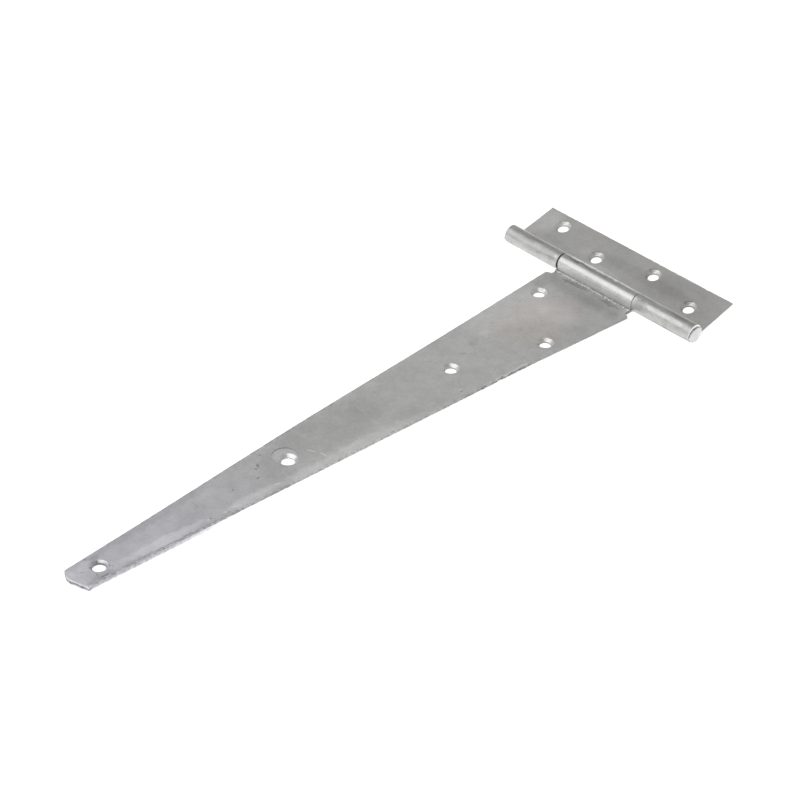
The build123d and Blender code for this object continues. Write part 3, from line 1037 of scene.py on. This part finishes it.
# Painted highlights on both ends of the pin, towards the back and the bottom.
PIN_PAINTED_HIGHLIGHTS = [
    ((-4.6, 86, 3.2), (3.8, 3, 3.8), 0, 0.15),
    ((-4.6, -85, 3.2), (3.8, 3, 3.8), 0, 0.15),
]
pin_zinc, tree = new_material("zinc_coated_pin")
place = add(tree, "ShaderNodeTexCoord", out="Object")
tone, grain = cloudy_tone(tree, 0.03, 0.06, 0.05)
tone = marked(tree, tone, place, PIN_PAINTED_HIGHLIGHTS, PIN_HIGHLIGHT_CORE)
colour = add(tree, "ShaderNodeMix", {
    "Factor": grain, "A": linear_colour("#d8d8d8"), "B": linear_colour("#d6d6d8")},
    out="Result", data_type="RGBA")
roughness = add(tree, "ShaderNodeMapRange", {"Value": grain, "To Min": 0.4, "To Max": 0.6})
zinc_surface(tree, colour, tone, roughness, grain)
print(pin_zinc.name, "has", len(tree.nodes), "nodes")

# %% [markdown]
# ## Dress the pieces
# Each leaf takes its zinc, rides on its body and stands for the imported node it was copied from. The seam
# rides on the strap. The pin's own node is good as it is, and only gets a better material.

# %% Materials, bodies and slots
LEAVES = ((strap, "strap_leaf", "strap", strap_zinc), (plate, "cross_plate", "plate", plate_zinc))
for piece, node, body, zinc in LEAVES:
    piece.data.materials.clear()
    piece.data.materials.append(zinc)
    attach(piece, body)
    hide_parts(node)
    print(piece.name, "stands for", node, "and rides on", body)
for piece in (fillet, bead):
    piece.data.materials.append(seam_zinc)
    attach(piece, "strap")
    print(piece.name, "rides on strap")
frame["nodes"]["hinge_pin"].material_slots[0].material = pin_zinc

# %% [markdown]
# ## Floor
# A plain floor of white card carries the shadow. To look white it also glows a little, but only for rays
# from the camera and for reflections, so that it adds no light to the hinge. From below it is clear, so
# that the backs can be looked at.

# %% White floor
FLOOR_SIDE = 6.0
FLOOR_DROP = 0.05 * MM
FLOOR_GLOW = {"Is Camera Ray": 0.75, "Is Glossy Ray": 0.7, "Is Transmission Ray": 0.75}
FLOOR_WHITE = "#dddddd"
bpy.ops.object.select_all(action="DESELECT")
bpy.ops.mesh.primitive_plane_add(size=FLOOR_SIDE, location=(0, 0, -FLOOR_DROP))
floor = bpy.context.active_object
floor.name = "studio_floor"
floor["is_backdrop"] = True
white, tree = new_material("white_floor")
path = add(tree, "ShaderNodeLightPath").node.outputs
glow = 0.0
for ray, amount in FLOOR_GLOW.items():
    glow = add(tree, "ShaderNodeMath", {0: path[ray], 1: amount, 2: glow}, operation="MULTIPLY_ADD")
emission = add(tree, "ShaderNodeEmission", {"Strength": glow})
diffuse = add(tree, "ShaderNodeBsdfDiffuse", {"Color": linear_colour(FLOOR_WHITE)})
lit = add(tree, "ShaderNodeAddShader", {0: emission, 1: diffuse})
below = add(tree, "ShaderNodeNewGeometry", out="Backfacing")
clear = add(tree, "ShaderNodeBsdfTransparent")
surface = add(tree, "ShaderNodeMixShader", {0: below, 1: lit, 2: clear})
add(tree, "ShaderNodeOutputMaterial", {"Surface": surface})
floor.data.materials.append(white)
print("floor laid", FLOOR_DROP / MM, "mm below the strap")

# %% [markdown]
# ## Light all round
# The world is a white cove: bright low down, where its walls are, and dimmer overhead. The flat faces of
# the hinge mirror its upper part, which is why they come out grey, and the knuckles mirror all of it from
# top to bottom. To the camera itself it is plain white.

# %% World
WALL_LIGHT, CEILING_LIGHT, WALL_TOP = 1.25, 0.49, 0.5
world = bpy.data.worlds.new("studio")
bpy.context.scene.world = world
world.use_nodes = True
tree = world.node_tree
tree.nodes.clear()
direction = add(tree, "ShaderNodeTexCoord", out="Generated")
height = add(tree, "ShaderNodeSeparateXYZ", {0: direction}, out="Z")
cove = add(tree, "ShaderNodeMapRange", {
    "Value": height, "From Min": 0.0, "From Max": WALL_TOP, "To Min": WALL_LIGHT, "To Max": CEILING_LIGHT})
camera_ray = add(tree, "ShaderNodeLightPath", out="Is Camera Ray")
level = add(tree, "ShaderNodeMath", {0: cove, 1: camera_ray}, operation="MAXIMUM")
background = add(tree, "ShaderNodeBackground", {"Strength": level})
add(tree, "ShaderNodeOutputWorld", {"Surface": background})
print("cove from", WALL_LIGHT, "at the floor to", CEILING_LIGHT, "overhead")

# %% [markdown]
# ## Softbox and camera
# One wide softbox above the strap draws the highlight on the knuckles and in the countersinks. The camera
# looks down on the hinge from beyond the tip, on the right, through a long lens, so that the strap's taper
# reads true.


# %% Softbox
def direction_to(azimuth, elevation):
    """Unit vector from the hinge towards a place seen at this azimuth and elevation, in degrees."""
    turn, rise = math.radians(azimuth), math.radians(elevation)
    return Vector((math.sin(turn) * math.cos(rise), -math.cos(turn) * math.cos(rise), math.sin(rise)))


def aim(thing, target, azimuth, elevation, distance):
    """Stands a lamp or a camera at a distance from a target and turns it to face it."""
    towards = direction_to(azimuth, elevation)
    thing.location = target + towards * distance
    thing.rotation_euler = towards.to_track_quat("Z", "Y").to_euler()
    bpy.context.scene.collection.objects.link(thing)
    print(thing.name, "stands at", [round(value, 3) for value in thing.location], "m")


SOFTBOX_WIDE, SOFTBOX_TALL, SOFTBOX_WATTS = 2.4, 1.5, 13.0
SOFTBOX_AZIMUTH, SOFTBOX_ELEVATION, SOFTBOX_DISTANCE = 75, 49, 1.5
softbox_light = bpy.data.lights.new("softbox", "AREA")
softbox_light.shape = "RECTANGLE"
softbox_light.size, softbox_light.size_y = SOFTBOX_WIDE, SOFTBOX_TALL
softbox_light.energy = SOFTBOX_WATTS
softbox = bpy.data.objects.new("softbox", softbox_light)
aim(softbox, pin_axis, SOFTBOX_AZIMUTH, SOFTBOX_ELEVATION, SOFTBOX_DISTANCE)

# %% Camera
LENS_MM, SENSOR_MM = 126.0, 36.0
LOOKED_AT = Vector((184.36, -1.21, 0.0)) * MM
CAMERA_AZIMUTH, CAMERA_ELEVATION, CAMERA_DISTANCE = 136.36, 35.99, 1783.84 * MM
lens = bpy.data.cameras.new("camera")
lens.lens = LENS_MM
lens.sensor_width = SENSOR_MM
camera = bpy.data.objects.new("camera", lens)
aim(camera, LOOKED_AT, CAMERA_AZIMUTH, CAMERA_ELEVATION, CAMERA_DISTANCE)
bpy.context.scene.camera = camera
bpy.context.scene.view_settings.view_transform = "Standard"

boxes = {"cad": [list(corner) for corner in cad_box], "visual": [list(corner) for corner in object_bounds()]}
grown = [round((dressed - packed) / MM, 2) for packed, dressed in zip(boxes["cad"][1], boxes["visual"][1])]
print("grown by", grown, "mm at the far corner")
